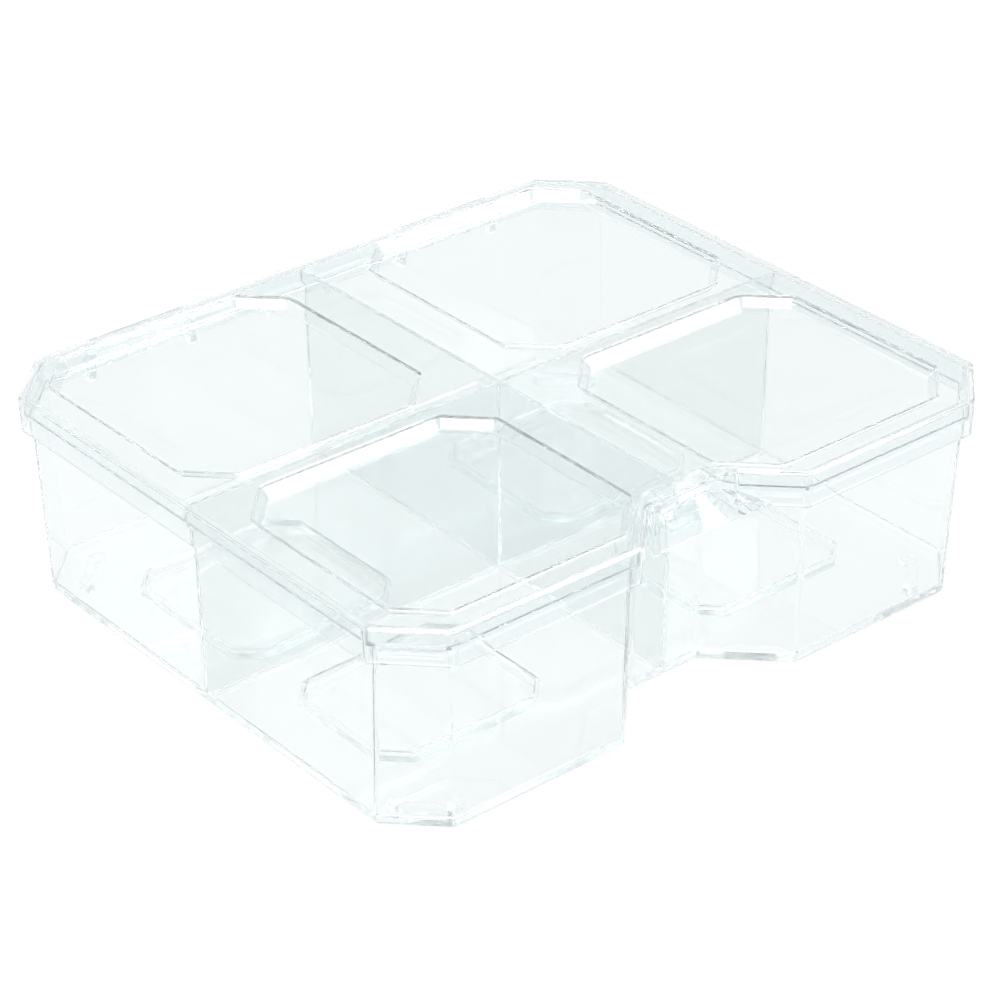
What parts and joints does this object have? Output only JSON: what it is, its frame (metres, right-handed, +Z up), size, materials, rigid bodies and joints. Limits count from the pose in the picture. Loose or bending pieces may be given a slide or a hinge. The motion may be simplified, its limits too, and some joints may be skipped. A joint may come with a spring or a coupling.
{
  "type": "parts organizer box",
  "caption": "Shallow clear plastic box with walled compartments, recessed hinged lid and a flexing finger latch in a front notch.",
  "frame": {"origin": "centre of the closed box's footprint, hinges included, on the surface that the feet stand on", "axes": "+Z up; the latch faces -Y, the hinges face +Y, and the long side runs along X"},
  "size_m": [0.2, 0.1779, 0.061],
  "materials": {
    "tray": "clear moulded polystyrene",
    "lid": "clear moulded polystyrene",
    "latch_tab": "clear moulded polystyrene",
    "hinge_pin_left": "clear plastic rod",
    "hinge_pin_right": "clear plastic rod"
  },
  "bodies": {
    "tray": {"tray": "tray"},
    "lid": {"lid": "lid", "hinge_pin_left": "hinge_pin_left", "hinge_pin_right": "hinge_pin_right"},
    "latch": {"latch_tab": "latch_tab"}
  },
  "joints": [
    {"name": "lid_hinge", "type": "hinge", "parent": "tray", "child": "lid", "pos_m": [0, 0.08635, 0.0517], "axis": [-1, 0, 0], "range_deg": [0, 180]},
    {"name": "latch_flex", "type": "hinge", "parent": "lid", "child": "latch", "pos_m": [0, -0.07595, 0.0604], "axis": [-1, 0, 0], "range_deg": [0, 14], "stiffness_Nm_per_rad": 0.4}
  ]
}
